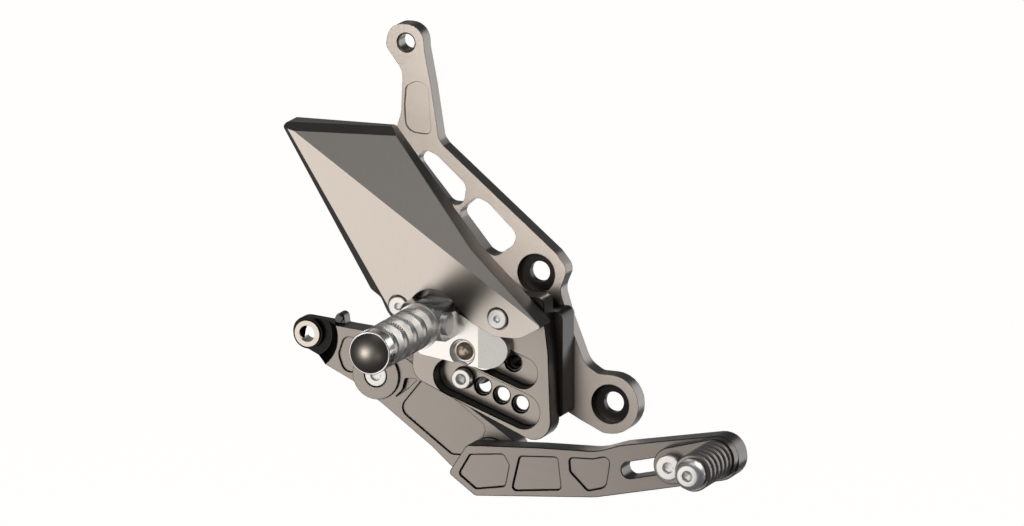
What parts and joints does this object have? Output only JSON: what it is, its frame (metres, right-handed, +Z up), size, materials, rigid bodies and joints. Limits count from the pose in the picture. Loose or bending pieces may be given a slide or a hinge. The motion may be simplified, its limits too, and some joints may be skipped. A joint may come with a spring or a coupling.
{
  "type": "motorcycle rear set with folding foot peg and brake lever",
  "caption": "right-hand motorcycle rear set: billet frame bracket, adjuster plate, folding foot peg, creased heel guard and brake lever with adjustable toe peg",
  "frame": {"origin": "centre of the lower frame bolt hole, on the bracket face that lies against the motorcycle frame", "axes": "+X towards the front of the motorcycle, +Z up; the outboard side, with the foot peg, faces -Y"},
  "size_m": [0.243, 0.1336, 0.2273],
  "materials": {
    "black_anodised": "satin black anodised aluminium",
    "silver_aluminium": "bright machined aluminium",
    "polished_steel": "polished steel",
    "spring_steel": "spring steel",
    "black_steel": "blackened steel",
    "bronze": "bearing bronze",
    "black_plastic": "satin black nylon",
    "black_rubber": "soft black rubber"
  },
  "bodies": {
    "root": {"frame_bracket": "black_anodised", "adjuster_plate": "black_anodised", "plate_screw": "polished_steel", "heel_guard": "black_anodised", "guard_screws": "polished_steel", "peg_mount": "silver_aluminium", "mount_bolt": "polished_steel", "hinge_pin": "polished_steel", "hinge_circlip": "spring_steel", "stop_sleeve": "black_rubber", "stop_screw": "polished_steel", "pivot_bolt": "polished_steel", "return_spring": "spring_steel"},
    "foot_peg": {"peg_tongue": "silver_aluminium", "peg_barrel": "silver_aluminium", "peg_bolt": "polished_steel", "peg_cap": "black_plastic", "peg_spring": "spring_steel"},
    "brake_lever": {"lever_crank": "black_anodised", "pivot_bush": "bronze", "pushrod_bush": "bronze", "spring_stud": "black_steel", "toe_arm": "black_anodised", "arm_screws": "polished_steel", "toe_block": "black_anodised", "block_screw": "polished_steel", "slot_nut": "polished_steel", "toe_peg": "black_anodised", "toe_peg_screw": "polished_steel"}
  },
  "joints": [
    {"name": "brake_pivot", "type": "hinge", "parent": "root", "child": "brake_lever", "pos_m": [-0.1183, -0.016, 0.0072], "axis": [0, 1, 0], "range_deg": [0, 12], "stiffness_Nm_per_rad": 4, "springref_deg": -20.05},
    {"name": "peg_fold", "type": "hinge", "parent": "root", "child": "foot_peg", "pos_m": [-0.0779, -0.057, 0.045], "axis": [-1, 0, 0], "range_deg": [0, 65], "stiffness_Nm_per_rad": 0.3, "springref_deg": -28.65}
  ]
}
